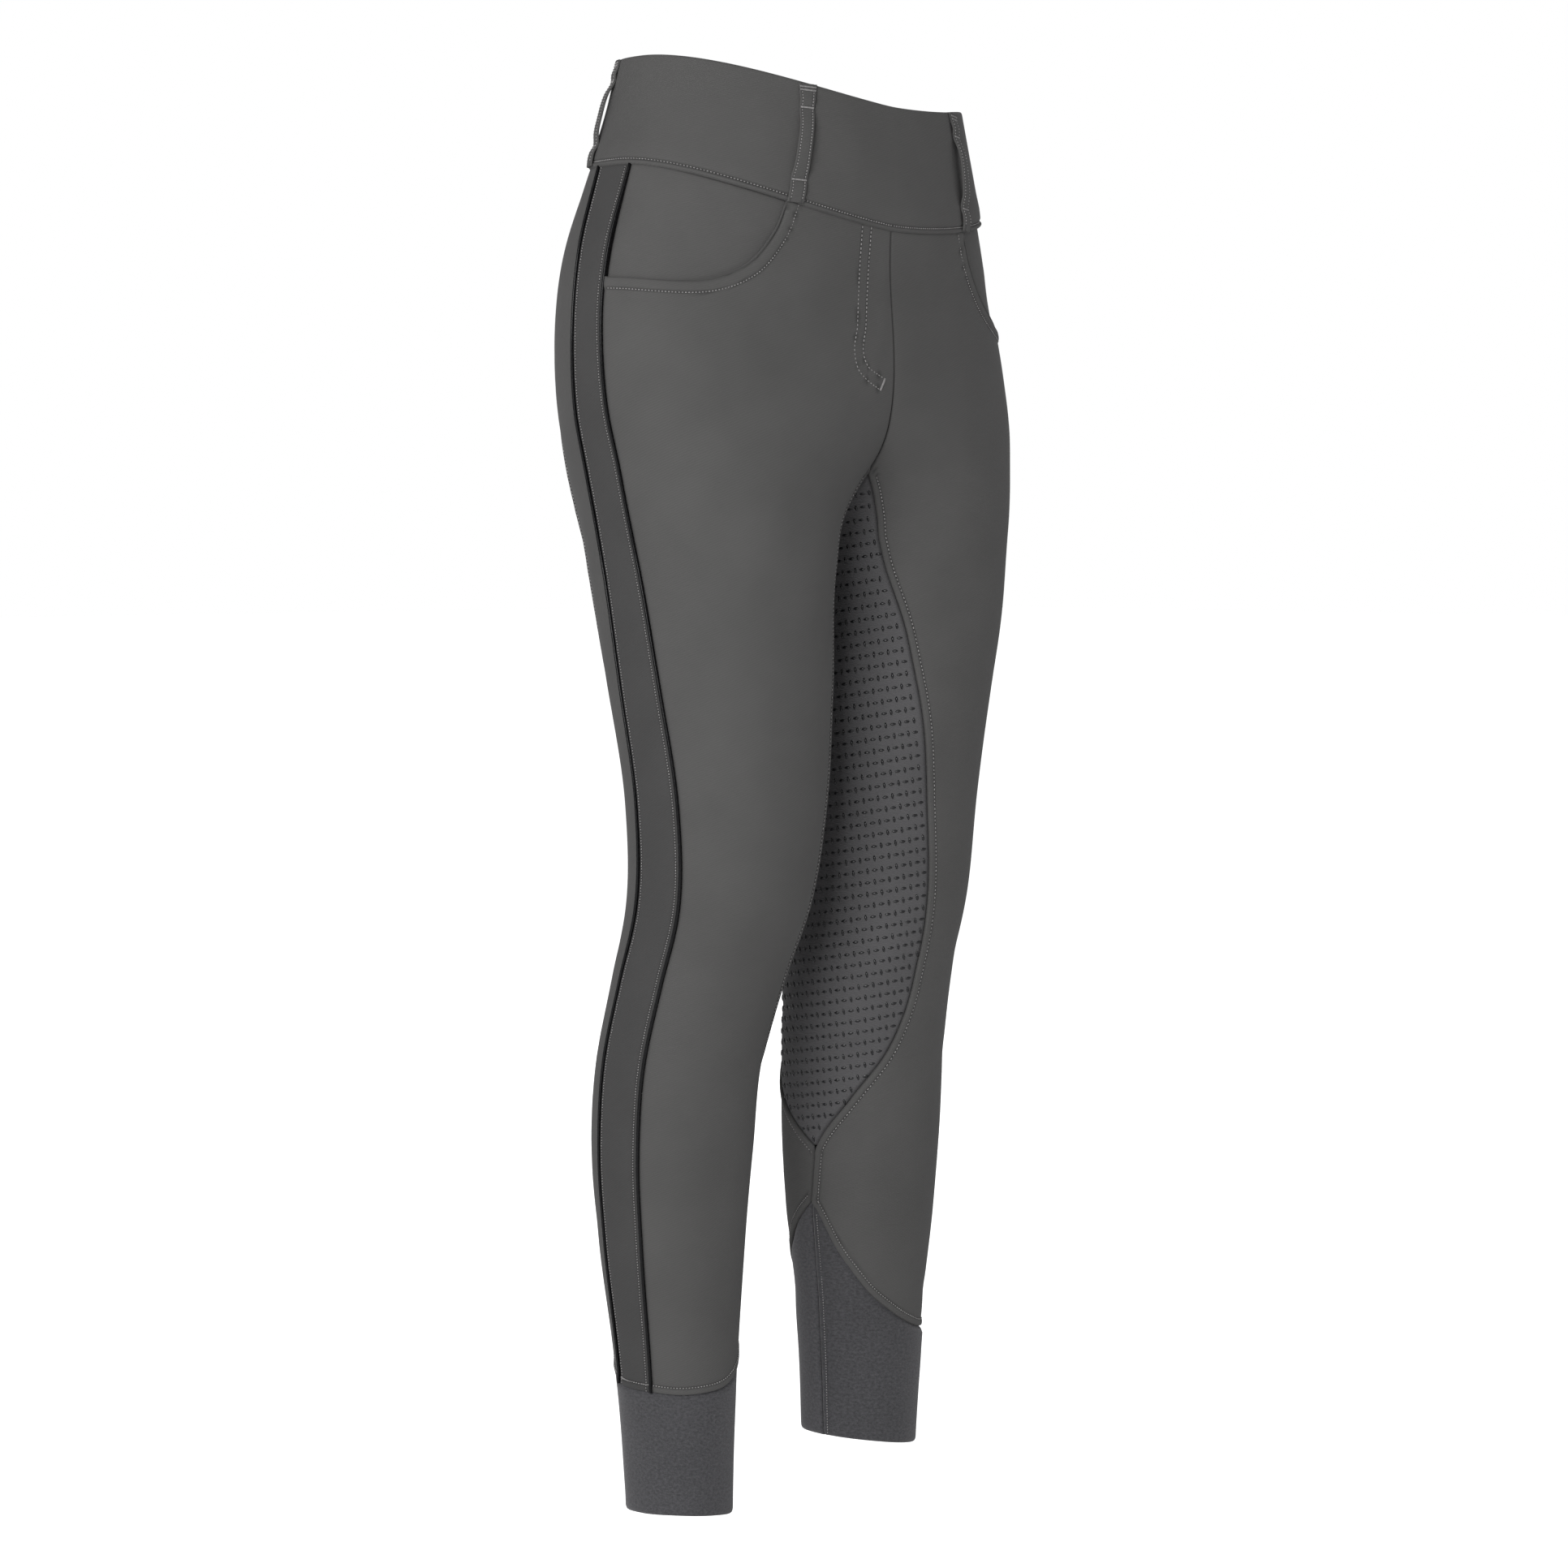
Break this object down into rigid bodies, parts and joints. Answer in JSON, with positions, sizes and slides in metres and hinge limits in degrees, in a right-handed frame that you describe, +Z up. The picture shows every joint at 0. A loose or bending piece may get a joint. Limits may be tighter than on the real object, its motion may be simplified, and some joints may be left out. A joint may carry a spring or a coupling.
{
  "type": "riding leggings",
  "caption": "Full-seat riding leggings filled out as worn, with a wide waistband, belt loops, scoop pockets, piped side stripes, printed seat and leg grip, and jersey ankle cuffs.",
  "frame": {"origin": "centre of the waist, half way up the waistband's height, where the wearer's waist holds the leggings up", "axes": "+Z up along the body, +X to the wearer's left, +Y behind the wearer"},
  "size_m": [0.3728, 0.2278, 1.0008],
  "materials": {
    "shell": "matt charcoal stretch softshell with a fine twill face",
    "stripe": "matt charcoal stretch softshell, a shade darker",
    "grip": "finely ribbed stretch cloth with raised dark silicone dashes",
    "cuff": "thin heather grey jersey",
    "piping": "near-black coated piping"
  },
  "bodies": {
    "root": {"waistband": "shell", "front_panel_right": "shell", "pocket_facing_right": "shell", "back_panel_right": "shell", "seat_grip_right": "grip", "side_stripe_right": "stripe", "piping_front_right": "piping", "piping_back_right": "piping", "cuff_right": "cuff", "front_panel_left": "shell", "pocket_facing_left": "shell", "back_panel_left": "shell", "seat_grip_left": "grip", "side_stripe_left": "stripe", "piping_front_left": "piping", "piping_back_left": "piping", "cuff_left": "cuff", "belt_loop_front_right": "shell", "belt_loop_front_left": "shell", "belt_loop_back_right": "shell", "belt_loop_back_left": "shell", "belt_loop_centre_back": "shell"}
  },
  "joints": []
}
